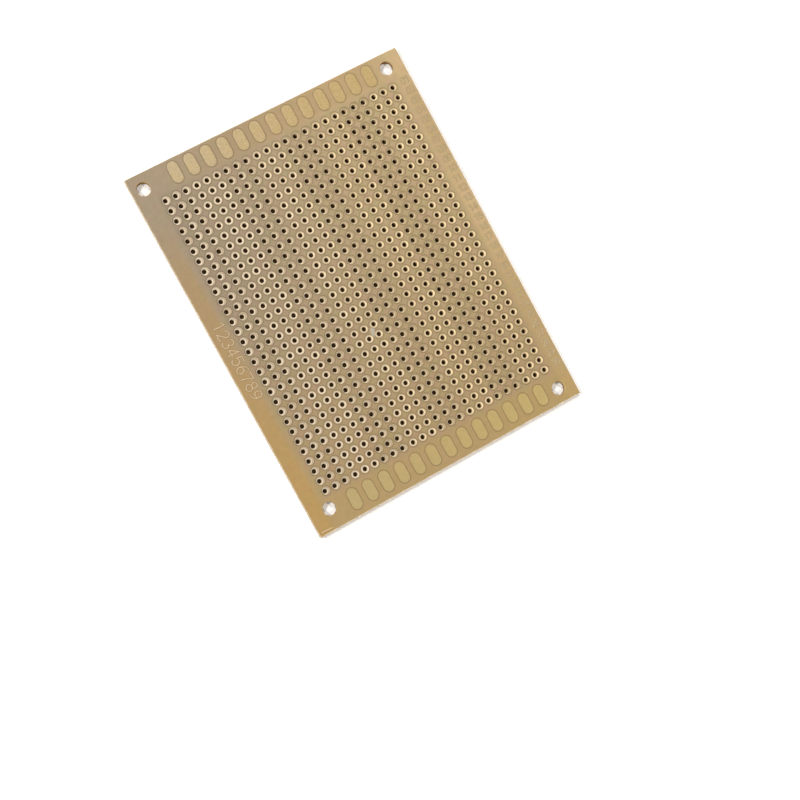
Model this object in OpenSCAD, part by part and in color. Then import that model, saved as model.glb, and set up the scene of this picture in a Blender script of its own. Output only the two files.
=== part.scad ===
// Single-sided prototype board: a punched paper-phenolic sheet with a grid of
// round foil pads, a row of long oval foil pads along each short edge and four
// screw holes. It lies flat with the foil side up. The origin is at the centre
// of the sheet's underside, X runs along the short edge and Y along the long one.

/* [Sheet] */
// Width of the sheet, its short edge, along X
board_w = 69.6; // [69:0.1:80]
// Length of the sheet, its long edge, along Y
board_l = 90.4; // [89.4:0.1:100]
// Thickness of the bare laminate
board_t = 1.6; // [0.8:0.1:2.4]

/* [Lead hole grid] */
// Columns of lead holes, along X
columns = 24; // [3:1:24]
// Rows of lead holes, along Y
rows = 30; // [2:1:30]
// Distance between neighbouring pads, both ways
pitch = 2.54; // [2.4:0.01:2.54]
// Diameter of a lead hole
lead_hole_d = 1.0; // [0.7:0.05:1.1]
// Diameter of the round pad about a lead hole
pad_d = 2.0; // [1.8:0.05:2.2]
// Neighbouring columns that one stroke of the punch makes
band_columns = 3; // [1:1:6]
// How far every other band of holes is punched off the centres of its pads, towards -X
band_shift = 0.29; // [0:0.01:0.3]
// Centre of the foil pattern beside the centre of the sheet, along X
pattern_x = 0.55; // [-0.6:0.05:0.6]
// Centre of the foil pattern beside the centre of the sheet, along Y
pattern_y = 0.4; // [-0.4:0.05:0.4]

/* [Oval end pads] */
// Oval pads in the row along each short edge
ovals = 13; // [1:1:13]
// Distance between neighbouring oval pads
oval_pitch = 4.16; // [3.2:0.02:4.2]
// Width of an oval pad, along X
oval_w = 2.6; // [2:0.1:2.8]
// Length of an oval pad from end to end, along Y
oval_l = 5.2; // [3:0.1:5.4]
// Middle of the oval row beside the middle of the grid, along X
oval_shift = 0.55; // [0:0.05:0.6]
// Distance from the last row of round pads to the middle of the oval pads
oval_gap = 4.73; // [4.3:0.01:4.8]

/* [Screw holes] */
// Diameter of the four screw holes
screw_d = 3.2; // [2.2:0.1:3.4]
// Screw hole at the +Y end, -X side: place along X
hole_a_x = -31.9; // [-32.2:0.1:-30]
// Screw hole at the +Y end, -X side: place along Y
hole_a_y = 41.7; // [40:0.1:42.2]
// Both screw holes on the +X side: place along X
hole_b_x = 30.7; // [30.6:0.1:32]
// Both screw holes on the +X side: distance from the middle along Y
hole_b_y = 41.8; // [40:0.1:42.2]
// Screw hole at the -Y end, -X side: place along X
hole_c_x = -29.9; // [-32:0.1:-29.8]
// Screw hole at the -Y end, -X side: place along Y
hole_c_y = -40.4; // [-42:0.1:-40.4]

/* [Foil] */
// Thickness of the pads above the laminate
foil_t = 0.035; // [0.035:0.005:0.1]

/* [Hidden] */
$fn = 48;

// Pad centres count from the middle of the foil pattern.
function pad_x(i) = pattern_x + (i - (columns - 1) / 2) * pitch;
function pad_y(j) = pattern_y + (j - (rows - 1) / 2) * pitch;
// Bands 0, 2, 4 ... of the columns are punched off centre, the others on centre.
function hole_x(i) = pad_x(i) - (floor(i / band_columns) % 2 == 0 ? band_shift : 0);
function oval_x(k) = pattern_x + oval_shift + (k - (ovals - 1) / 2) * oval_pitch;
// The oval rows stand clear of the full grid, whose last row is at its outer end.
oval_y = (rows - 1) / 2 * pitch + oval_gap;
screw_holes = [[hole_a_x, hole_a_y], [hole_b_x, hole_b_y],
               [hole_b_x, -hole_b_y], [hole_c_x, hole_c_y]];

// A stadium: a straight middle with two half-round ends, length l along Y.
module stadium(w, l) {
    square([w, l - w], center = true);
    for (s = [-1, 1]) translate([0, s * (l - w) / 2]) circle(d = w);
}

// The sheet, with every lead hole and screw hole punched straight through it.
module laminate() {
    color([0.68, 0.57, 0.4])
    linear_extrude(board_t)
    difference() {
        square([board_w, board_l], center = true);
        for (i = [0 : columns - 1], j = [0 : rows - 1])
            translate([hole_x(i), pad_y(j)]) circle(d = lead_hole_d);
        for (p = screw_holes) translate(p) circle(d = screw_d);
    }
}

// The round pads, each a flat ring whose hole is the laminate's own.
module round_pads() {
    color([0.86, 0.78, 0.63])
    translate([0, 0, board_t])
    linear_extrude(foil_t)
    for (i = [0 : columns - 1], j = [0 : rows - 1])
        difference() {
            translate([pad_x(i), pad_y(j)]) circle(d = pad_d);
            translate([hole_x(i), pad_y(j)]) circle(d = lead_hole_d);
        }
}

// The undrilled oval pads of both short edges.
module oval_pads() {
    color([0.8, 0.69, 0.45])
    translate([0, 0, board_t])
    linear_extrude(foil_t)
    for (k = [0 : ovals - 1], s = [-1, 1])
        translate([oval_x(k), pattern_y + s * oval_y]) stadium(oval_w, oval_l);
}

laminate();
round_pads();
oval_pads();
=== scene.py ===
"""A single-sided prototype board: a punched tan phenolic sheet, 720 round foil
pads, 26 oval foil pads, a scale of plain numerals in the -X margin and faint row
numbers in the +X margin. Lengths in the tables below are millimetres."""

import math
import random

import bpy
import numpy as np
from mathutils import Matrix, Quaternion, Vector


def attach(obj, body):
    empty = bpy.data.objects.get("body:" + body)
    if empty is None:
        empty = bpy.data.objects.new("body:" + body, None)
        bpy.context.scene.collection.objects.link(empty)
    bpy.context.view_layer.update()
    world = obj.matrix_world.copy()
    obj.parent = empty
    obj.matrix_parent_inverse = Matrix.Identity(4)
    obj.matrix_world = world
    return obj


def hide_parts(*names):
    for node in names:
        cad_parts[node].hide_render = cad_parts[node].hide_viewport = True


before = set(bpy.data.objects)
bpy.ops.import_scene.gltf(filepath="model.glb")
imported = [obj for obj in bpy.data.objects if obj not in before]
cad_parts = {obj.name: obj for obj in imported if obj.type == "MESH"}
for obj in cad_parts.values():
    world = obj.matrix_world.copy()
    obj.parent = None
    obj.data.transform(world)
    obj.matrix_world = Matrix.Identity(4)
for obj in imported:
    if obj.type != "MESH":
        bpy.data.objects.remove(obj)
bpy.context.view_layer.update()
scene = bpy.context.scene
MM = 0.001

# The board's own dimensions, the same as in its construction.
BOARD_W, BOARD_L, BOARD_T = 69.6, 90.4, 1.6
HX, HY = BOARD_W / 2, BOARD_L / 2
COLS, ROWS, PITCH = 24, 30, 2.54
HOLE_R, PAD_R = 0.5, 1.0
BAND, BAND_SHIFT = 3, 0.29
PX, PY = 0.55, 0.4
OVALS, OVAL_PITCH, OVAL_W, OVAL_L = 13, 4.16, 2.6, 5.2
OVAL_X0, OVAL_Y = PX + 0.55, 14.5 * PITCH + 4.73
SCREW_R = 1.6
SCREWS = [(-31.9, 41.7), (30.7, 41.8), (30.7, -41.8), (-29.9, -40.4)]
FOIL = 0.035
TOP = BOARD_T + FOIL


def pad_x(i):
    return PX + (i - (COLS - 1) / 2) * PITCH


def pad_y(j):
    return PY + (j - (ROWS - 1) / 2) * PITCH


def hole_x(i):
    return pad_x(i) - (BAND_SHIFT if (i // BAND) % 2 == 0 else 0.0)


# ---------------------------------------------------------------- camera
cam_data = bpy.data.cameras.new("camera")
cam = bpy.data.objects.new("camera", cam_data)
scene.collection.objects.link(cam)
cam_data.sensor_width = 36.0
cam_data.lens = 59.329
cam_data.shift_y = 0.1
cam_data.clip_start, cam_data.clip_end = 0.01, 20.0
cam.location = Vector((-63.58, -26.96, 296.99)) * MM
cam.rotation_mode = "QUATERNION"
cam.rotation_quaternion = Quaternion((0.964492, -0.003885, -0.088963, -0.248649))
scene.camera = cam


# ---------------------------------------------------------------- node trees
class Tree:
    """A material whose patterns read the object's own coordinates, in millimetres.
    dim scales the base colour, which the bright studio light makes up for."""

    dim = 0.785

    def __init__(self, name):
        self.mat = bpy.data.materials.new(name)
        self.mat.use_nodes = True
        self.nt = self.mat.node_tree
        self.nt.nodes.clear()
        out = self.nt.nodes.new("ShaderNodeOutputMaterial")
        self.bsdf = self.nt.nodes.new("ShaderNodeBsdfPrincipled")
        self.nt.links.new(self.bsdf.outputs["BSDF"], out.inputs["Surface"])
        tc = self.nt.nodes.new("ShaderNodeTexCoord")
        mm = self.nt.nodes.new("ShaderNodeVectorMath")
        mm.operation = "SCALE"
        mm.inputs["Scale"].default_value = 1000.0
        self.nt.links.new(tc.outputs["Object"], mm.inputs[0])
        self.p = mm.outputs["Vector"]
        sep = self.nt.nodes.new("ShaderNodeSeparateXYZ")
        self.nt.links.new(self.p, sep.inputs[0])
        self.x, self.y, self.z = sep.outputs

    def put(self, socket, value):
        if isinstance(value, bpy.types.NodeSocket):
            self.nt.links.new(value, socket)
        elif isinstance(value, (tuple, list)) and len(value) == 3 and socket.type == "RGBA":
            socket.default_value = (*value, 1.0)
        else:
            socket.default_value = value

    def math(self, op, a, b=None, c=None, clamp=False):
        n = self.nt.nodes.new("ShaderNodeMath")
        n.operation, n.use_clamp = op, clamp
        for k, v in enumerate((a, b, c)):
            if v is not None:
                self.put(n.inputs[k], v)
        return n.outputs[0]

    def smooth(self, v, lo, hi, out_lo=0.0, out_hi=1.0):
        """out_lo below lo, out_hi above hi, and an even curve between."""
        n = self.nt.nodes.new("ShaderNodeMapRange")
        n.interpolation_type = "SMOOTHSTEP"
        self.put(n.inputs["Value"], v)
        for name, k in (("From Min", lo), ("From Max", hi), ("To Min", out_lo), ("To Max", out_hi)):
            self.put(n.inputs[name], k)
        return n.outputs["Result"]

    def linear(self, v, lo, hi, out_lo=0.0, out_hi=1.0):
        n = self.nt.nodes.new("ShaderNodeMapRange")
        n.clamp = True
        self.put(n.inputs["Value"], v)
        for name, k in (("From Min", lo), ("From Max", hi), ("To Min", out_lo), ("To Max", out_hi)):
            self.put(n.inputs[name], k)
        return n.outputs["Result"]

    def mix(self, fac, a, b, blend="MIX"):
        n = self.nt.nodes.new("ShaderNodeMix")
        n.data_type, n.blend_type = "RGBA", blend
        n.clamp_result = False
        self.put(n.inputs[0], fac)
        self.put(n.inputs[6], a)
        self.put(n.inputs[7], b)
        return n.outputs[2]

    def noise(self, scale, detail=2.0, rough=0.5, stretch=None, offset=(0, 0, 0), distort=0.0):
        v = self.p
        if stretch or any(offset):
            m = self.nt.nodes.new("ShaderNodeMapping")
            self.nt.links.new(v, m.inputs["Vector"])
            m.inputs["Location"].default_value = offset
            m.inputs["Scale"].default_value = stretch or (1, 1, 1)
            v = m.outputs["Vector"]
        n = self.nt.nodes.new("ShaderNodeTexNoise")
        self.nt.links.new(v, n.inputs["Vector"])
        n.inputs["Scale"].default_value = scale
        n.inputs["Detail"].default_value = detail
        n.inputs["Roughness"].default_value = rough
        n.inputs["Distortion"].default_value = distort
        return n.outputs["Fac"]

    def attribute(self, name):
        n = self.nt.nodes.new("ShaderNodeAttribute")
        n.attribute_name = name
        return n.outputs["Fac"]

    def length(self, a, b):
        return self.math("SQRT", self.math("ADD", self.math("MULTIPLY", a, a), self.math("MULTIPLY", b, b)))

    def bump(self, height, distance_mm, strength=1.0):
        n = self.nt.nodes.new("ShaderNodeBump")
        n.inputs["Strength"].default_value = strength
        n.inputs["Distance"].default_value = distance_mm * MM
        self.put(n.inputs["Height"], height)
        self.nt.links.new(n.outputs["Normal"], self.bsdf.inputs["Normal"])

    def set(self, **values):
        for name, value in values.items():
            if name == "Base_Color" and self.dim != 1.0:
                n = self.nt.nodes.new("ShaderNodeVectorMath")
                n.operation = "SCALE"
                self.put(n.inputs[0], value)
                n.inputs["Scale"].default_value = self.dim
                value = n.outputs["Vector"]
            self.put(self.bsdf.inputs[name.replace("_", " ")], value)
        return self.mat


# Three tones of the lacquered face: cooler and greyer near the -X, +Y corner, partly the sheet's own tone and
# partly a painted sheen of the lacquer reflecting cool light; paler and warmer along +X, and a deeper tan towards -Y.
COOL_SHEEN, WARM, DEEP = (0.335, 0.258, 0.170), (0.512, 0.374, 0.200), (0.412, 0.288, 0.127)


def face_material():
    t = Tree("phenolic_face")
    clouds = t.noise(0.06, 3, 0.5, offset=(3.1, 8.2, 0))
    drift = t.math("MULTIPLY_ADD", clouds, 0.5, -0.25)
    fx = t.smooth(t.math("MULTIPLY_ADD", drift, 30.0, t.x), -36.0, 26.0)
    fy = t.smooth(t.math("MULTIPLY_ADD", drift, 24.0, t.y), 34.0, -44.0)
    # The cool tone towards the -X, +Y corner is partly a painted sheen.
    colour = t.mix(fy, t.mix(fx, COOL_SHEEN, WARM), DEEP)

    # The sheet between the pads is a little greyer than the bare margins.
    ax = t.math("ABSOLUTE", t.math("SUBTRACT", t.x, PX))
    ay = t.math("ABSOLUTE", t.math("SUBTRACT", t.y, PY))
    field = t.math(
        "MULTIPLY", t.smooth(ax, 31.4, 30.2), t.smooth(ay, 39.2, 37.8)
    )
    cast = t.mix(fy, (0.91, 0.93, 0.96), (0.955, 0.97, 1.12))
    colour = t.mix(field, colour, t.mix(1.0, colour, cast, "MULTIPLY"))

    # The -X margin is a deeper, more golden tan below its screw hole.
    golden = t.math("MULTIPLY", t.smooth(t.x, -30.6, -32.0), t.smooth(t.y, 37.0, 16.0))
    colour = t.mix(golden, colour, t.mix(1.0, colour, (1.08, 0.98, 0.79), "MULTIPLY"))

    # The +X margin is a little paler, apart from one stretch of the row numbers.
    pale = t.smooth(t.x, 31.2, 32.6)
    colour = t.mix(pale, colour, t.mix(1.0, colour, (1.085, 1.075, 1.055), "MULTIPLY"))
    stretch = t.math("MULTIPLY", pale, t.smooth(t.math("ABSOLUTE", t.math("SUBTRACT", t.y, 27.0)), 15.0, 5.0))
    colour = t.mix(stretch, colour, t.mix(1.0, colour, (0.91, 0.90, 0.87), "MULTIPLY"))
    light = t.math("MULTIPLY", pale, t.smooth(t.math("ABSOLUTE", t.y), 13.0, 5.0))
    colour = t.mix(light, colour, t.mix(1.0, colour, (1.07, 1.08, 1.12), "MULTIPLY"))
    # The -Y margin turns a little yellower towards +X.
    low = t.math("MULTIPLY", t.smooth(t.y, -37.5, -41.0), t.smooth(t.x, 6.0, 20.0))
    colour = t.mix(low, colour, t.mix(1.0, colour, (1.01, 1.0, 0.90), "MULTIPLY"))

    # The +Y margin is a little deeper between its two screw holes.
    top = t.math("MULTIPLY", t.smooth(t.y, 37.5, 40.5), t.math("MULTIPLY", t.smooth(t.x, -29.0, -6.0), t.smooth(t.x, 31.0, 26.0)))
    colour = t.mix(top, colour, t.mix(1.0, colour, (0.91, 0.88, 0.83), "MULTIPLY"))

    # Pinkish and olive patches a few millimetres wide, stronger in the field.
    patch = t.smooth(t.noise(0.30, 3, 0.6, offset=(11, 4, 2)), 0.38, 0.62)
    hue = t.mix(patch, (0.965, 1.01, 0.93), (1.03, 0.975, 1.02))
    amount = t.math("MULTIPLY_ADD", field, 0.55, 0.45)
    colour = t.mix(amount, colour, t.mix(1.0, colour, hue, "MULTIPLY"))
    tone = t.noise(0.9, 4, 0.6, offset=(1, 7, 5))
    fibre = t.noise(1.0, 3, 0.6, stretch=(0.55, 4.5, 1.0), offset=(5, 2, 9))
    light = t.math(
        "ADD",
        t.linear(tone, 0.25, 0.75, 0.945, 1.055),
        t.linear(fibre, 0.3, 0.7, -0.02, 0.02),
    )
    shade = t.nt.nodes.new("ShaderNodeVectorMath")
    shade.operation = "SCALE"
    t.put(shade.inputs[0], colour)
    t.put(shade.inputs["Scale"], light)
    colour = shade.outputs["Vector"]

    # A darker ring round each pad and a darker line round each oval pad: partly lacquer gathered at the foil's edge,
    # partly painted shade beside the raised foil.
    dx = t.math("WRAP", t.math("SUBTRACT", t.x, PX + PITCH / 2), PITCH / 2, -PITCH / 2)
    dy = t.math("WRAP", t.math("SUBTRACT", t.y, PY + PITCH / 2), PITCH / 2, -PITCH / 2)
    ring = t.smooth(t.length(dx, dy), 1.36, 1.02)
    inside = t.math(
        "MULTIPLY",
        t.math("LESS_THAN", ax, COLS / 2 * PITCH),
        t.math("LESS_THAN", ay, ROWS / 2 * PITCH),
    )
    ring = t.math("MULTIPLY", ring, inside)
    colour = t.mix(ring, colour, t.mix(1.0, colour, (0.67, 0.65, 0.60), "MULTIPLY"))
    ox = t.math("WRAP", t.math("SUBTRACT", t.x, OVAL_X0), OVAL_PITCH / 2, -OVAL_PITCH / 2)
    oy = t.math("ABSOLUTE", t.math("SUBTRACT", ay, OVAL_Y))
    oy = t.math("MAXIMUM", t.math("SUBTRACT", oy, (OVAL_L - OVAL_W) / 2), 0.0)
    edge = t.math("SUBTRACT", t.length(ox, oy), OVAL_W / 2)
    row = t.math("LESS_THAN", t.math("ABSOLUTE", t.math("SUBTRACT", t.x, OVAL_X0)), OVALS / 2 * OVAL_PITCH)
    rim = t.math("MULTIPLY", t.smooth(edge, 0.30, 0.02), row)
    colour = t.mix(rim, colour, t.mix(1.0, colour, (0.66, 0.63, 0.55), "MULTIPLY"))

    # One greyish smear between four pads, and a pale crumb beside it.
    sx, sy = t.math("ADD", t.x, 1.75), t.math("ADD", t.y, 9.9)
    along = t.math("ADD", t.math("MULTIPLY", sx, 0.35), t.math("MULTIPLY", sy, 0.94))
    across = t.math("SUBTRACT", t.math("MULTIPLY", sx, 0.94), t.math("MULTIPLY", sy, 0.35))
    ragged = t.linear(t.noise(2.2, 4, 0.7, offset=(2, 3, 4)), 0.3, 0.7, -0.25, 0.25)
    spread = t.math("ADD", t.length(t.math("MULTIPLY", along, 0.62), t.math("MULTIPLY", across, 1.35)), ragged)
    smear = t.smooth(spread, 0.95, 0.35, 0.0, 0.75)
    colour = t.mix(smear, colour, (0.50, 0.485, 0.40))
    crumb = t.smooth(t.length(t.math("ADD", t.x, 2.75), t.math("ADD", t.y, 8.7)), 0.26, 0.12)
    colour = t.mix(crumb, colour, (0.86, 0.76, 0.66))

    # A short crack beside the -Y edge, near the -X corner: a pale lip over a dark line.
    lean = t.math("MULTIPLY_ADD", t.math("ADD", t.x, 33.0), 0.05, t.math("ADD", t.y, 44.35))
    span = t.math("MULTIPLY", t.smooth(t.x, -34.3, -34.0), t.smooth(t.x, -30.9, -32.0))
    lip = t.math("MULTIPLY", t.smooth(t.math("ABSOLUTE", lean), 0.13, 0.06), span)
    gap = t.math("MULTIPLY", t.smooth(t.math("ABSOLUTE", t.math("ADD", lean, 0.2)), 0.12, 0.05), span)
    colour = t.mix(t.math("MULTIPLY", lip, 0.7), colour, (0.80, 0.66, 0.44))
    colour = t.mix(t.math("MULTIPLY", gap, 0.5), colour, (0.22, 0.14, 0.06))

    # Small dark and pale specks in the resin.
    dust = t.noise(2.6, 2, 0.5, offset=(9, 9, 1))
    colour = t.mix(t.smooth(dust, 0.755, 0.80, 0.0, 0.35), colour, (0.16, 0.10, 0.05))
    colour = t.mix(t.smooth(dust, 0.245, 0.20, 0.0, 0.30), colour, (0.78, 0.68, 0.50))

    rough = t.linear(t.noise(0.5, 3, 0.6, offset=(6, 1, 3)), 0.3, 0.7, 0.40, 0.54)
    grain = t.math("ADD", t.math("MULTIPLY", tone, 0.6), t.math("MULTIPLY", fibre, 0.4))
    t.bump(grain, 0.012)
    return t.set(
        Base_Color=colour, Roughness=rough, Coat_Weight=0.12, Coat_Roughness=0.28,
        Specular_IOR_Level=0.32,
    )


def under_material():
    t = Tree("phenolic_underside")
    cloud = t.noise(0.10, 4, 0.55, offset=(4, 2, 6))
    fibre = t.noise(0.9, 4, 0.6, stretch=(0.5, 4.0, 1.0), offset=(7, 3, 1))
    colour = t.mix(t.smooth(cloud, 0.3, 0.7), (0.335, 0.205, 0.092), (0.405, 0.262, 0.125))
    colour = t.mix(t.smooth(fibre, 0.35, 0.7, 0.0, 0.35), colour, (0.255, 0.150, 0.066))
    scuff = t.noise(0.7, 5, 0.7, stretch=(3.0, 0.25, 1.0), offset=(1, 1, 8))
    colour = t.mix(t.smooth(scuff, 0.60, 0.72, 0.0, 0.28), colour, (0.52, 0.39, 0.23))
    dust = t.noise(2.2, 2, 0.5, offset=(3, 5, 2))
    colour = t.mix(t.smooth(dust, 0.74, 0.80, 0.0, 0.5), colour, (0.12, 0.07, 0.03))
    t.bump(t.math("ADD", fibre, t.math("MULTIPLY", scuff, 0.5)), 0.014)
    return t.set(
        Base_Color=colour,
        Roughness=t.linear(cloud, 0.3, 0.7, 0.50, 0.64),
        Specular_IOR_Level=0.4,
    )


def bore_material(name, resin, lit_pale, pale):
    """Punched hole walls: brown resin, with pale torn paper near the foil side. The wall on the +X side, which faces
    the key lamp at -X, is painted paler and further down as painted light."""
    t = Tree(name)
    torn = t.noise(5.0, 3, 0.6, stretch=(1.0, 1.0, 0.35), offset=(2, 8, 4))
    level = t.math("MULTIPLY_ADD", torn, 0.5, t.math("SUBTRACT", t.z, 0.25))
    geometry = t.nt.nodes.new("ShaderNodeTexCoord")
    normal = t.nt.nodes.new("ShaderNodeSeparateXYZ")
    t.nt.links.new(geometry.outputs["Normal"], normal.inputs[0])
    # Painted light: walls whose normal points to -X, towards the key lamp, take the paler colour.
    lit_side = t.smooth(normal.outputs[0], 0.1, -0.8)
    deep = t.mix(t.smooth(level, 0.45, 1.15), resin, lit_pale)
    shallow = t.mix(t.smooth(level, 0.95, 1.50), resin, pale)
    colour = t.mix(lit_side, shallow, deep)
    plies = t.math("SINE", t.math("MULTIPLY_ADD", torn, 5.0, t.math("MULTIPLY", t.z, 42.0)))
    colour = t.mix(t.linear(plies, -1, 1, 0.0, 0.25), colour, resin)
    t.bump(torn, 0.03)
    return t.set(
        Base_Color=colour,
        Roughness=t.linear(torn, 0.3, 0.7, 0.70, 0.88),
        Specular_IOR_Level=0.0,
    )


def edge_material():
    """Sheared edges: pale plies of paper with thin brown resin lines."""
    t = Tree("sheared_edge")
    torn = t.noise(1.6, 4, 0.65, stretch=(1.0, 1.0, 0.5), offset=(5, 6, 7))
    chips = t.noise(0.45, 3, 0.6, offset=(8, 2, 2))
    wave = t.math("MULTIPLY_ADD", torn, 3.0, t.math("MULTIPLY", t.z, 30.0))
    ply = t.linear(t.math("SINE", wave), -0.2, 1.0)
    colour = t.mix(t.smooth(chips, 0.35, 0.65), (0.66, 0.50, 0.315), (0.80, 0.66, 0.46))
    colour = t.mix(t.math("MULTIPLY", ply, 0.55), colour, (0.40, 0.25, 0.115))
    colour = t.mix(t.smooth(t.z, 0.35, 0.0, 0.0, 0.4), colour, (0.42, 0.27, 0.13))
    t.bump(t.math("ADD", torn, t.math("MULTIPLY", ply, 0.3)), 0.05)
    return t.set(
        Base_Color=colour,
        Roughness=t.linear(torn, 0.3, 0.7, 0.62, 0.82),
        Specular_IOR_Level=0.3,
    )


def pad_material():
    """Pale tinned foil: brightest on the collar round the hole, partly bare tin and partly a painted highlight where
    the foil turns down into the hole, duller under the lacquer towards the rim. rim is the distance from the hole's
    edge in mm."""
    t = Tree("tinned_foil")
    rim, tone, painted_light = t.attribute("rim"), t.attribute("tone"), t.attribute("painted_light")
    # Painted light: collar and outer tones are brighter and paler towards -X, the key lamp's side.
    fx = t.smooth(t.x, -34.0, 22.0)
    collar = t.mix(fx, (0.80, 0.675, 0.495), (0.725, 0.57, 0.335))
    outer = t.mix(fx, (0.560, 0.440, 0.305), (0.470, 0.345, 0.178))
    mottle = t.noise(2.4, 3, 0.6, offset=(1, 2, 3))
    reach = t.math("MULTIPLY_ADD", mottle, 0.16, t.math("MULTIPLY", tone, t.linear(fx, 0.0, 1.0, 0.34, 0.26)))
    bright = t.smooth(rim, t.math("ADD", reach, 0.16), t.math("SUBTRACT", reach, 0.06))
    colour = t.mix(bright, outer, collar)
    colour = t.mix(t.smooth(tone, 0.5, 0.1, 0.0, 0.35), colour, (0.54, 0.41, 0.24))
    # The foil's sheared inner lip, where it turns down into the hole.
    colour = t.mix(t.smooth(rim, 0.075, 0.025, 0.0, 0.72), colour, (0.26, 0.155, 0.06))
    fine = t.noise(6.0, 3, 0.6, offset=(4, 4, 4))
    # The per-corner attribute multiplies in painted light and shade by the side of the hole, with a fine random tone.
    shade = t.nt.nodes.new("ShaderNodeVectorMath")
    shade.operation = "SCALE"
    t.put(shade.inputs[0], colour)
    t.put(shade.inputs["Scale"], t.math("MULTIPLY", painted_light, t.linear(fine, 0.25, 0.75, 0.92, 1.06)))
    t.bump(fine, 0.012)
    return t.set(
        Base_Color=shade.outputs["Vector"],
        Metallic=0.15,
        Roughness=t.linear(mottle, 0.3, 0.7, 0.34, 0.50),
        Coat_Weight=0.16,
        Coat_Roughness=0.25,
    )


def oval_material():
    """Lacquered foil, gold with pink speckles in the +Y row and smoother and more
    olive in the -Y row."""
    t = Tree("lacquered_foil")
    upper = t.smooth(t.y, -10.0, 10.0)
    fx = t.smooth(t.x, -34.0, 24.0)
    base = t.mix(upper, t.mix(fx, (0.500, 0.385, 0.170), (0.500, 0.375, 0.132)), t.mix(fx, (0.500, 0.400, 0.245), (0.540, 0.385, 0.155)))
    speck = t.noise(3.2, 4, 0.7, offset=(2, 5, 3))
    cloud = t.noise(0.8, 3, 0.55, offset=(7, 1, 5))
    strength = t.math("MULTIPLY_ADD", upper, 0.5, 0.22)
    colour = t.mix(t.math("MULTIPLY", t.smooth(speck, 0.50, 0.62), strength), base, (0.67, 0.47, 0.28))
    colour = t.mix(t.math("MULTIPLY", t.smooth(speck, 0.46, 0.34), strength), colour, (0.38, 0.28, 0.11))
    colour = t.mix(t.smooth(cloud, 0.35, 0.7, 0.0, 0.35), colour, (0.58, 0.43, 0.17))
    edge = t.attribute("rim")
    colour = t.mix(t.smooth(edge, 0.22, 0.0, 0.0, 0.55), colour, (0.33, 0.24, 0.12))
    t.bump(t.math("MULTIPLY_ADD", speck, t.math("MULTIPLY_ADD", upper, 0.8, 0.4), cloud), 0.016)
    return t.set(
        Base_Color=colour,
        Metallic=0.2,
        Roughness=t.linear(speck, 0.3, 0.7, 0.36, 0.52),
        Coat_Weight=0.25,
        Coat_Roughness=0.22,
    )


def numeral_material(name, pale, dark, rough):
    t = Tree(name)
    wear = t.noise(1.8, 4, 0.65, offset=(3, 3, 6))
    colour = t.mix(t.smooth(wear, 0.3, 0.72), pale, dark)
    t.bump(wear, 0.01)
    return t.set(
        Base_Color=colour,
        Metallic=0.15,
        Roughness=t.linear(wear, 0.3, 0.7, rough, rough + 0.14),
        Coat_Weight=0.25,
        Coat_Roughness=0.25,
    )


# ---------------------------------------------------------------- mesh helpers
class Shell:
    """Vertices, faces with a material index, and one map corner per face corner."""

    def __init__(self):
        self.v, self.f, self.m, self.s, self.uv = [], [], [], [], []
        self.attr = {}

    def add(self, points):
        k = len(self.v)
        self.v.extend(points)
        return list(range(k, k + len(points)))

    def face(self, ids, uvs, material=0, smooth=False):
        self.f.append(tuple(ids))
        self.uv.extend(uvs)
        self.m.append(material)
        self.s.append(smooth)

    def make(self, name, materials):
        me = bpy.data.meshes.new(name)
        co = np.array(self.v, float) * MM
        me.from_pydata(co.tolist(), [], self.f)
        if any(c != (0, 0) for c in self.uv):
            layer = me.uv_layers.new(name="OFBake", do_init=False)
            layer.uv.foreach_set("vector", np.array(self.uv, np.float32).ravel())
        me.polygons.foreach_set("material_index", np.array(self.m, np.int32))
        me.polygons.foreach_set("use_smooth", np.array(self.s, bool))
        for key, values in self.attr.items():
            a = me.attributes.new(key, "FLOAT", "POINT")
            a.data.foreach_set("value", np.array(values, np.float32))
        for m in materials:
            me.materials.append(m)
        me.update()
        ob = bpy.data.objects.new(name, me)
        scene.collection.objects.link(ob)
        return ob


def circle(cx, cy, r, n, z):
    return [(cx + r * math.cos(2 * math.pi * k / n), cy + r * math.sin(2 * math.pi * k / n), z) for k in range(n)]


def strip(shell, a, b, ua, ub, material, smooth=True):
    """Joins two closed loops of equal length. ua and ub hold one more corner than
    the loops, so that a map can be cut open at the seam."""
    n = len(a)
    for k in range(n):
        q = (k + 1) % n
        shell.face((a[k], a[q], b[q], b[k]), (ua[k], ua[k + 1], ub[k + 1], ub[k]), material, smooth)


def cap(shell, outer, inner, centre, uv_of, material, flip=False):
    """Fills the flat between a closed outer polygon and a closed inner circle, both
    counter-clockwise seen from +Z, with triangles."""
    pts = shell.v

    def angle(i):
        return math.atan2(pts[i][1] - centre[1], pts[i][0] - centre[0]) % (2 * math.pi)

    n_in, n_out = len(inner), len(outer)
    inner_angles = [angle(i) for i in inner]

    def nearest(a):
        return min(range(n_in), key=lambda k: abs((inner_angles[k] - a + math.pi) % (2 * math.pi) - math.pi))

    def emit(*ids):
        ids = ids[::-1] if flip else ids
        shell.face(ids, [uv_of(pts[i]) for i in ids], material, False)

    joints = []
    for k in range(n_out):
        a, b = angle(outer[k]), angle(outer[(k + 1) % n_out])
        joints.append(nearest((a + ((b - a) % (2 * math.pi)) / 2) % (2 * math.pi)))
    for k in range(n_out):
        emit(outer[k], outer[(k + 1) % n_out], inner[joints[k]])
        i = joints[k - 1]
        while i != joints[k]:
            emit(outer[k], inner[(i + 1) % n_in], inner[i])
            i = (i + 1) % n_in


# ---------------------------------------------------------------- the sheet
SEG = 24
MAP = 1024.0
EDGE_STEPS = 3


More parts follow.
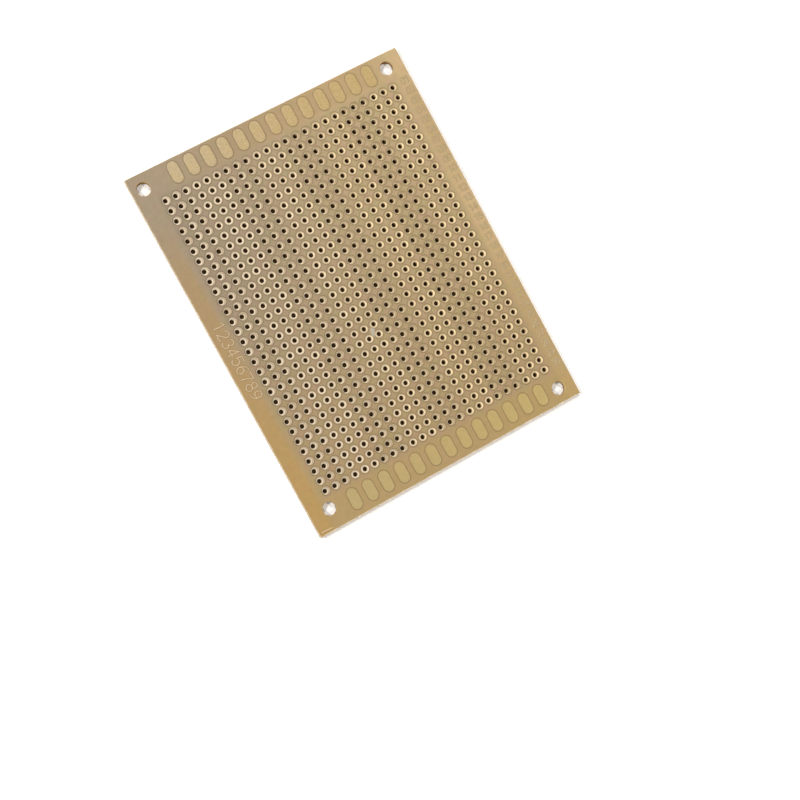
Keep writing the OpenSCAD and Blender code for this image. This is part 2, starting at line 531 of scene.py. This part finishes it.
def build_laminate():
    s = Shell()
    k_top, k_low = 9.6 / MAP, 4.6 / MAP

    def uv_top(p):
        return (6 / MAP + (p[0] + HX) * k_top, 6 / MAP + (p[1] + HY) * k_top)

    def uv_low(p):
        return (690 / MAP + (HX - p[0]) * k_low, 6 / MAP + (p[1] + HY) * k_low)

    xs = [-HX] + [pad_x(i) - PITCH / 2 for i in range(COLS)] + [pad_x(COLS - 1) + PITCH / 2, HX]
    ys = [-HY] + [pad_y(j) - PITCH / 2 for j in range(ROWS)] + [pad_y(ROWS - 1) + PITCH / 2, HY]
    last_x, last_y = len(xs) - 1, len(ys) - 1

    # Points along the border, split finely so that its bevel can wander. The
    # shear has crushed the -Y edge most, then the -X edge.
    crushed = (0.17, 0.055, 0.055, 0.085)

    def ragged(t, seed, side, face):
        return (
            (crushed[side] if face == 0 else 0.055)
            + 0.018 * math.sin(1.31 * t + seed)
            + 0.014 * math.sin(3.7 * t + 2.1 * seed)
            + 0.010 * math.sin(9.1 * t + 0.7 * seed)
        )

    def between(a, b):
        return [a + (b - a) * k / EDGE_STEPS for k in range(1, EDGE_STEPS)]

    def run(values):
        out = []
        for a, b in zip(values[:-1], values[1:]):
            out.append(a)
            out.extend(between(a, b))
        return out

    # Counter-clockwise: (place, side).
    sides = (
        [((v, -HY), 0) for v in run(xs)]
        + [((HX, v), 1) for v in run(ys)]
        + [((v, HY), 2) for v in run(xs[::-1])]
        + [((-HX, v), 3) for v in run(ys[::-1])]
    )
    seeds = (0.4, 1.9, 3.3, 5.2)

    def inset(p, side, face):
        """The border point of one face, drawn in from the sheared edge."""
        x, y = p
        e = ragged(x if side in (0, 2) else y, seeds[side] + face, side, face)
        ex = e if abs(x) > HX - 0.001 else 0.0
        ey = e if abs(y) > HY - 0.001 else 0.0
        return (x - math.copysign(ex, x), y - math.copysign(ey, y))

    keys = [(round(p[0], 4), round(p[1], 4)) for p, _ in sides]
    top_in = s.add([(*inset(p, side, 0), BOARD_T) for p, side in sides])
    top_out = s.add([(p[0], p[1], BOARD_T - 0.06) for p, side in sides])
    low_out = s.add([(p[0], p[1], 0.07) for p, side in sides])
    low_in = s.add([(*inset(p, side, 1), 0.0) for p, side in sides])

    # Border bands in the map: four sides one above the other.
    def band(p, side, level):
        along = {0: p[0] + HX, 1: p[1] + HY, 2: HX - p[0], 3: HY - p[1]}[side]
        return ((8 + along * 9.6) / MAP, (880 + 22 * side + level) / MAP)

    n = len(sides)
    for a, b, la, lb in ((top_in, top_out, 18, 16), (top_out, low_out, 16, 2), (low_out, low_in, 2, 0)):
        for k in range(n):
            q = (k + 1) % n
            side = sides[k][1]
            pk, pq = sides[k][0], sides[q][0]
            s.face(
                (a[k], b[k], b[q], a[q]),
                (band(pk, side, la), band(pk, side, lb), band(pq, side, lb), band(pq, side, la)),
                2,
                False,
            )
    top_rim, low_rim = dict(zip(keys, top_in)), dict(zip(keys, low_in))

    # Grid points inside the border.
    def grid(z):
        pts = {}
        for i in range(1, last_x):
            for j in range(1, last_y):
                pts[(round(xs[i], 4), round(ys[j], 4))] = s.add([(xs[i], ys[j], z)])[0]
        return pts

    top_pts, low_pts = grid(BOARD_T), grid(0.0)
    top_pts.update(top_rim)
    low_pts.update(low_rim)

    def outline(x0, x1, y0, y1):
        """Points of the polygon round a block, counter-clockwise, with every grid
        and border point that lies on it."""
        def steps(values, lo, hi, fine):
            inner = [v for v in values if lo - 1e-6 <= v <= hi + 1e-6]
            if not fine:
                return inner
            out = []
            for a, b in zip(inner[:-1], inner[1:]):
                out.append(a)
                out.extend(between(a, b))
            return out + [inner[-1]]

        bottom = [(v, y0) for v in steps(xs, x0, x1, y0 == -HY)]
        right = [(x1, v) for v in steps(ys, y0, y1, x1 == HX)]
        top = [(v, y1) for v in steps(xs, x0, x1, y1 == HY)][::-1]
        left = [(x0, v) for v in steps(ys, y0, y1, x0 == -HX)][::-1]
        ring = bottom[:-1] + right[:-1] + top[:-1] + left[:-1]
        return [(round(x, 4), round(y, 4)) for x, y in ring]

    blocks = {
        (xs[0], xs[1], ys[-2], ys[-1]): SCREWS[0],
        (xs[-3], xs[-1], ys[-2], ys[-1]): SCREWS[1],
        (xs[-3], xs[-1], ys[0], ys[1]): SCREWS[2],
        (xs[0], xs[2], ys[0], ys[1]): SCREWS[3],
    }

    def bored(block, centre, r, seg, profile, cell, wall):
        """One block with a hole: both caps and the wall between them."""
        loops = [s.add(circle(centre[0], centre[1], r + d, seg, z)) for d, z in profile]
        ring = outline(*block)
        cap(s, [top_pts[k] for k in ring], loops[0], centre, uv_top, 0)
        cap(s, [low_pts[k] for k in ring], loops[-1], centre, uv_low, 3, flip=True)
        u0, v0, du, dv = cell
        run_len = [0.0]
        for (d0, z0), (d1, z1) in zip(profile[:-1], profile[1:]):
            run_len.append(run_len[-1] + math.hypot(d1 - d0, z1 - z0))
        for k in range(len(loops) - 1):
            ua = [(u0 + du * m / seg, v0 + dv * run_len[k] / run_len[-1]) for m in range(seg + 1)]
            ub = [(u0 + du * m / seg, v0 + dv * run_len[k + 1] / run_len[-1]) for m in range(seg + 1)]
            strip(s, loops[k], loops[k + 1], ua, ub, wall)

    lead = [(0.12, BOARD_T), (0.03, BOARD_T - 0.055), (0.0, BOARD_T - 0.16), (0.0, 0.06), (0.035, 0.0)]
    for i in range(COLS):
        for j in range(ROWS):
            block = (xs[i + 1], xs[i + 2], ys[j + 1], ys[j + 2])
            cell = ((690 + i * 13.5) / MAP, (436 + j * 14.0) / MAP, 12.0 / MAP, 12.5 / MAP)
            bored(block, (hole_x(i), pad_y(j)), HOLE_R, SEG, lead, cell, 1)
    screw = [(0.06, BOARD_T), (0.015, BOARD_T - 0.04), (0.0, BOARD_T - 0.12), (0.0, 0.12), (0.02, 0.03), (0.07, 0.0)]
    for k, (block, centre) in enumerate(blocks.items()):
        cell = ((8 + 110 * k) / MAP, 980 / MAP, 100 / MAP, 20 / MAP)
        bored(block, centre, SCREW_R, 64, screw, cell, 4)

    # The plain margins.
    for i in range(last_x):
        for j in range(last_y):
            x0, x1, y0, y1 = xs[i], xs[i + 1], ys[j], ys[j + 1]
            if 0 < i < last_x - 1 and 0 < j < last_y - 1:
                continue
            mx, my = (x0 + x1) / 2, (y0 + y1) / 2
            if any(b[0] < mx < b[1] and b[2] < my < b[3] for b in blocks):
                continue
            ring = outline(x0, x1, y0, y1)
            t = [top_pts[k] for k in ring]
            s.face(t, [uv_top(s.v[i_]) for i_ in t], 0, False)
            low = [low_pts[k] for k in ring][::-1]
            s.face(low, [uv_low(s.v[i_]) for i_ in low], 3, False)
    return s


# ---------------------------------------------------------------- round pads
def step(v, lo, hi):
    k = min(1.0, max(0.0, (v - lo) / (hi - lo)))
    return k * k * (3 - 2 * k)


def painted_side_light(x, u, parity):
    """How bright the foil is painted in the direction u from its hole, as painted light and shade: darker towards +Y,
    and on the narrow side of a pad whose hole is off its centre, as painted shade where the foil slopes into the hole
    away from the lamps. In the columns near +X the +X side carries a painted highlight."""
    across = step(x, -34.0, 22.0)
    if parity == 0:
        f = 1.0 - (0.17 + 0.05 * across) * step(u[1], 0.0, 0.9)
        return f - 0.30 * step(-u[0], 0.1, 0.9)
    f = 1.05 + 0.04 * across - (0.18 - 0.03 * across) * step(u[1], 0.0, 0.9)
    f -= (0.06 + 0.07 * across) * step(-u[1], 0.2, 0.9)
    return f * (1.0 + 0.38 * across * step(u[0] - 0.15 * u[1], 0.1, 0.9))


def build_pads(parity):
    """The rings of every other band of columns. Foil turns down a little into the
    hole, where the punch has dragged it."""
    s = Shell()
    rng = random.Random(41 + parity)
    rims, tones, painted_lights = [], [], []
    columns = [i for i in range(COLS) if (i // BAND) % 2 == parity]
    per_row = 20
    pitch_u, pitch_v = 1.0 / per_row, 1.0 / 18
    count = 0
    for i in columns:
        for j in range(ROWS):
            pc, hc = (pad_x(i), pad_y(j)), (hole_x(i), pad_y(j))
            tone = min(1.0, max(0.0, rng.gauss(0.62 if parity else 0.5, 0.17)))
            lift = rng.uniform(0.0, 0.004)
            squeeze = rng.uniform(0.9, 1.12)
            loops, dist = [], []
            ring = []
            for k in range(SEG):
                a = 2 * math.pi * k / SEG
                u = (math.cos(a), math.sin(a))
                # Where the ray from the hole's centre leaves the pad.
                ox, oy = hc[0] - pc[0], hc[1] - pc[1]
                b = ox * u[0] + oy * u[1]
                far = -b + math.sqrt(b * b - (ox * ox + oy * oy - PAD_R * PAD_R))
                ring.append((u, far - HOLE_R))
            steps = [
                (0.000, 0.0, BOARD_T - 0.150),
                (0.022, 0.12, BOARD_T - 0.030),
                (0.085 * squeeze, 0.34, TOP - 0.012),
                (0.185 * squeeze, 0.62, TOP - lift),
                (None, 0.90, TOP - 0.004 - lift),
                (None, 1.0, TOP - 0.017),
                (None, 1.0, BOARD_T - 0.003),
            ]
            for d, share, z in steps:
                pts, rr = [], []
                for u, w in ring:
                    e = w * share if d is None else min(d, w * share)
                    if share == 0.90:
                        e = max(w - 0.06, w * 0.8)
                    r = HOLE_R + e
                    pts.append((hc[0] + u[0] * r, hc[1] + u[1] * r, z))
                    rr.append(e)
                    painted_lights.append(painted_side_light(pc[0], u, parity))
                loops.append(s.add(pts))
                rims.extend(rr)
                tones.extend([tone] * SEG)
            cu = (count % per_row + 0.5) * pitch_u
            cv = (count // per_row + 0.5) * pitch_v
            half = 0.47 * min(pitch_u, pitch_v)
            radii = [0.24, 0.36, 0.44, 0.56, 0.84, 0.90, 0.94, 1.0]

            def corner(level, k):
                a = 2 * math.pi * k / SEG
                return (cu + half * radii[level] * math.cos(a), cv + half * radii[level] * math.sin(a))

            maps = [[corner(level, k) for k in range(SEG + 1)] for level in range(8)]
            for k in range(6):
                strip(s, loops[k + 1], loops[k], maps[k + 1], maps[k], 0)
            strip(s, loops[0], loops[6], maps[7], maps[6], 0, False)
            count += 1
    s.attr = {"rim": rims, "tone": tones, "painted_light": painted_lights}
    return s


# ---------------------------------------------------------------- oval pads
def build_ovals():
    s = Shell()
    arc = 16
    rims = []
    rng = random.Random(17)
    count = 0
    for sign in (-1, 1):
        for k in range(OVALS):
            cx, cy = OVAL_X0 + (k - 6) * OVAL_PITCH, PY + sign * OVAL_Y
            half = (OVAL_L - OVAL_W) / 2
            swell = rng.uniform(-0.002, 0.0)

            def loop(inset, z):
                r = OVAL_W / 2 - inset
                out = []
                for end, start in ((1, 0.0), (-1, math.pi)):
                    for m in range(arc + 1):
                        a = start + math.pi * m / arc
                        out.append((cx + r * math.cos(a), cy + end * half + r * math.sin(a), z))
                return out

            profile = [
                (0.0, BOARD_T - 0.003),
                (0.0, TOP - 0.018),
                (0.045, TOP - 0.007),
                (0.13, TOP - 0.003),
                (0.36, TOP + swell),
                (0.80, TOP + swell * 0.5 - 0.0005),
            ]
            loops = []
            for inset, z in profile:
                loops.append(s.add(loop(inset, z)))
                rims.extend([inset] * (2 * arc + 2))
            spread = [0.22, 0.10, 0.0, 0.0, 0.0, 0.0]
            per_row = 13
            u_mid = (count % per_row + 0.5) / per_row
            v_mid = (count // per_row) * 0.34 + 0.17
            zoom = 0.96 / per_row / (OVAL_W + 0.5)

            def uv_at(p, out):
                x, y = p[0] - cx, p[1] - cy
                core = max(-half, min(half, y))
                d = math.hypot(x, y - core) or 1.0
                g = 1 + out / d
                return (u_mid + x * g * zoom, v_mid + (core + (y - core) * g) * zoom)

            maps = []
            for ids, out in zip(loops, spread):
                m = [uv_at(s.v[i], out) for i in ids]
                maps.append(m + [m[0]])
            for a in range(5):
                strip(s, loops[a], loops[a + 1], maps[a], maps[a + 1], 0)
            s.face(loops[5], maps[5][:-1], 0, True)
            base = [
                (u_mid + (s.v[i][0] - cx) * zoom * 0.5, 0.76 + 0.1 * (count // per_row) + (s.v[i][1] - cy) * zoom * 0.5)
                for i in loops[0]
            ]
            s.face(loops[0][::-1], base[::-1], 0, False)
            count += 1
    s.attr = {"rim": rims}
    return s


# ---------------------------------------------------------------- numerals
def arc_points(cx, cy, rx, ry, a0, a1, n):
    return [
        (cx + rx * math.cos(math.radians(a0 + (a1 - a0) * k / n)), cy + ry * math.sin(math.radians(a0 + (a1 - a0) * k / n)))
        for k in range(n + 1)
    ]


# Single-line digits in a box 0.64 wide and 1 high. True marks a closed stroke.
SIX_TAIL = [(0.035, 0.33), (0.06, 0.52), (0.13, 0.70), (0.25, 0.86), (0.40, 0.96), (0.53, 1.0)]
DIGITS = {
    "0": [(True, arc_points(0.32, 0.5, 0.30, 0.5, 90, 450, 28))],
    "1": [(False, [(0.14, 0.80), (0.36, 1.0)]), (False, [(0.36, 1.0), (0.36, 0.0)])],
    "2": [
        (False, arc_points(0.32, 0.72, 0.28, 0.28, 165, -35, 14) + [(0.34, 0.34), (0.03, 0.0)]),
        (False, [(0.03, 0.0), (0.62, 0.0)]),
    ],
    "3": [
        (False, arc_points(0.30, 0.75, 0.25, 0.25, 150, -80, 14)),
        (False, arc_points(0.30, 0.255, 0.30, 0.255, 80, -150, 14)),
    ],
    "4": [(False, [(0.46, 0.0), (0.46, 1.0)]), (False, [(0.46, 1.0), (0.02, 0.30)]), (False, [(0.02, 0.30), (0.64, 0.30)])],
    "5": [
        (False, [(0.58, 1.0), (0.11, 1.0)]),
        (False, [(0.11, 1.0), (0.07, 0.54)]),
        (False, [(0.07, 0.54)] + arc_points(0.31, 0.32, 0.30, 0.32, 118, -148, 16)),
    ],
    "6": [(True, arc_points(0.32, 0.31, 0.285, 0.31, 0, 360, 22)), (False, SIX_TAIL)],
    "7": [(False, [(0.02, 1.0), (0.62, 1.0)]), (False, [(0.62, 1.0), (0.36, 0.5), (0.24, 0.0)])],
    "8": [
        (True, arc_points(0.32, 0.765, 0.235, 0.235, 0, 360, 20)),
        (True, arc_points(0.32, 0.265, 0.30, 0.265, 0, 360, 22)),
    ],
}
DIGITS["9"] = [(closed, [(0.64 - x, 1.0 - y) for x, y in pts]) for closed, pts in DIGITS["6"]]


def ribbon(s, pts, width, z0, z1, closed, material, lip=0.25):
    """A flat raised line of foil along pts, with round ends and bevelled sides."""
    p = [Vector(q) for q in pts]
    if closed and (p[0] - p[-1]).length < 1e-6:
        p = p[:-1]
    n = len(p)
    rows = []
    half = width / 2

    def section(c, side, h):
        k = h / half
        return [
            (c[0] - side[0] * h, c[1] - side[1] * h, z0),
            (c[0] - side[0] * h, c[1] - side[1] * h, z0 + (z1 - z0) * 0.55),
            (c[0] - side[0] * h * (1 - lip), c[1] - side[1] * h * (1 - lip), z0 + (z1 - z0) * (0.55 + 0.45 * k)),
            (c[0] + side[0] * h * (1 - lip), c[1] + side[1] * h * (1 - lip), z0 + (z1 - z0) * (0.55 + 0.45 * k)),
            (c[0] + side[0] * h, c[1] + side[1] * h, z0 + (z1 - z0) * 0.55),
            (c[0] + side[0] * h, c[1] + side[1] * h, z0),
        ]

    def direction(k):
        if closed:
            return (p[(k + 1) % n] - p[k - 1]).normalized()
        return (p[min(k + 1, n - 1)] - p[max(k - 1, 0)]).normalized()

    ends = [] if closed else [0.26, 0.64, 0.94]
    if not closed:
        d = direction(0)
        side = (-d.y, d.x)
        for h in ends:
            back = math.sqrt(max(0.0, 1 - h * h)) * half
            rows.append(section(p[0] - d * back, side, half * h))
    for k in range(n):
        d = direction(k)
        side = (-d.y, d.x)
        rows.append(section(p[k], side, half))
    if not closed:
        d = direction(n - 1)
        side = (-d.y, d.x)
        for h in ends[::-1]:
            ahead = math.sqrt(max(0.0, 1 - h * h)) * half
            rows.append(section(p[-1] + d * ahead, side, half * h))
    ids = [s.add(r) for r in rows]
    m = len(ids)
    total = m if closed else m - 1
    for k in range(total):
        a, b = ids[k], ids[(k + 1) % m]
        for c in range(6):
            e = (c + 1) % 6
            s.face((a[c], b[c], b[e], a[e]), [(0, 0)] * 4, material, c in (1, 2, 3))
    if not closed:
        s.face(ids[0], [(0, 0)] * 6, material, False)
        s.face(ids[-1][::-1], [(0, 0)] * 6, material, False)


def write_digits(s, text, origin, along, up, height, advance, width, z0, z1, material, step=0.0006):
    """Draws text from origin, running along one unit vector with its tops towards
    up. Strokes of one digit differ by step in height, so that none coincide."""
    for k, ch in enumerate(text):
        for n, (closed, pts) in enumerate(DIGITS[ch]):
            out = [
                (
                    origin[0] + along[0] * (k * advance + x * height) + up[0] * y * height,
                    origin[1] + along[1] * (k * advance + x * height) + up[1] * y * height,
                )
                for x, y in pts
            ]
            ribbon(s, out, width, z0, z1 - n * step, closed, material)


def build_scale():
    """The numerals 1 to 9 down the -X margin: pale foil on a darker foot."""
    s = Shell()
    start, along, up = (-33.35, 7.95), (0.0, -1.0), (1.0, 0.0)
    write_digits(s, "123456789", start, along, up, 2.65, 2.165, 0.50, BOARD_T - 0.003, BOARD_T + 0.006, 1)
    write_digits(s, "123456789", start, along, up, 2.65, 2.165, 0.26, BOARD_T - 0.003, BOARD_T + 0.024, 0)
    return s


def build_row_numbers():
    """Faint two-digit row numbers, 1 to 30, in the +X margin."""
    s = Shell()
    for j in range(ROWS):
        number = f"{ROWS - j:02d}"
        y = pad_y(j) + 0.4 - 0.72
        place, along, up = (32.22, y), (1.0, 0.0), (0.0, 1.0)
        write_digits(s, number, place, along, up, 1.44, 1.06, 0.42, BOARD_T - 0.003, BOARD_T + 0.006, 1)
        write_digits(s, number, place, along, up, 1.44, 1.06, 0.20, BOARD_T - 0.003, BOARD_T + 0.016, 0)
    return s


# ---------------------------------------------------------------- the pieces
laminate = build_laminate().make(
    "laminate_sheet",
    [
        face_material(),
        # The lead holes' walls take far darker colours than the screw holes' walls of the same sheet: painted shade
        # deep in the narrow holes.
        bore_material("lead_bore_painted_shade", (0.088, 0.027, 0.004), (0.78, 0.56, 0.29), (0.46, 0.28, 0.10)),
        edge_material(),
        under_material(),
        bore_material("screw_bore", (0.26, 0.140, 0.045), (0.86, 0.64, 0.33), (0.66, 0.43, 0.16)),
    ],
)
pads = pad_material()
pads_shifted = build_pads(0).make("round_pads_shifted_bands", [pads])
pads_centred = build_pads(1).make("round_pads_centred_bands", [pads])
ovals = build_ovals().make("oval_end_pads", [oval_material()])
scale_marks = build_scale().make(
    "margin_numerals",
    [
        numeral_material("numeral_foil", (0.66, 0.50, 0.30), (0.54, 0.39, 0.21), 0.36),
        numeral_material("numeral_foot", (0.33, 0.22, 0.11), (0.28, 0.18, 0.085), 0.45),
    ],
)
row_numbers = build_row_numbers().make(
    "row_numbers",
    [
        numeral_material("row_number_foil", (0.53, 0.40, 0.22), (0.48, 0.35, 0.18), 0.42),
        numeral_material("row_number_foot", (0.40, 0.29, 0.14), (0.44, 0.32, 0.16), 0.46),
    ],
)

for piece, node, slot in (
    (laminate, "laminate", "laminate"),
    (pads_shifted, "round_pads", "round_pads"),
    (pads_centred, "round_pads", "round_pads"),
    (ovals, "oval_pads", "oval_pads"),
    (scale_marks, None, "round_pads"),
    (row_numbers, None, "laminate"),
):
    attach(piece, "root")
    if node:
        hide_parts(node)


# ---------------------------------------------------------------- the stage
def floor_plane():
    t = Tree("floor_paper")
    t.dim = 1.0
    fleck = t.noise(0.02, 2, 0.5)
    colour = t.mix(fleck, (0.93, 0.93, 0.925), (0.95, 0.95, 0.95))
    t.set(Base_Color=colour, Roughness=0.9, Specular_IOR_Level=0.1)
    me = bpy.data.meshes.new("floor")
    size, z = 3.0, -0.00002
    me.from_pydata([(-size, -size, z), (size, -size, z), (size, size, z), (-size, size, z)], [], [(0, 1, 2, 3)])
    me.materials.append(t.mat)
    ob = bpy.data.objects.new("floor", me)
    scene.collection.objects.link(ob)


floor_plane()


def area_light(name, location, target, size, power, colour):
    data = bpy.data.lights.new(name, "AREA")
    data.shape, data.size = "DISK", size
    data.energy, data.color = power, colour
    ob = bpy.data.objects.new(name, data)
    scene.collection.objects.link(ob)
    ob.location = location
    ob.rotation_mode = "QUATERNION"
    ob.rotation_quaternion = (Vector(target) - Vector(location)).to_track_quat("-Z", "Y")


# A soft key from the -X, +Y side and three weaker lights from the other sides, each
# about 40 degrees off the board's normal: high enough to light the floor through the
# screw holes, low enough to leave the floor of the lead holes dark. Together they
# are bright enough that the floor stays white in most of the shade.
area_light("key", (-0.484, 0.223, 0.636), (0, 0, 0), 0.20, 4.6, (1.0, 0.985, 0.96))
area_light("fill_right", (0.583, -0.272, 0.766), (0, 0, 0), 0.22, 3.85, (1.0, 0.975, 0.94))
area_light("fill_back", (0.064, 0.640, 0.766), (0, 0, 0), 0.22, 4.9, (1.0, 0.98, 0.95))
area_light("fill_front", (-0.231, -0.600, 0.766), (0, 0, 0), 0.22, 2.75, (1.0, 0.975, 0.94))

world = bpy.data.worlds.new("studio")
world.use_nodes = True
background = world.node_tree.nodes["Background"]
background.inputs["Color"].default_value = (1.0, 0.80, 0.56, 1.0)
background.inputs["Strength"].default_value = 0.035
scene.world = world
scene.view_settings.view_transform = "Standard"
scene.view_settings.look = "None"
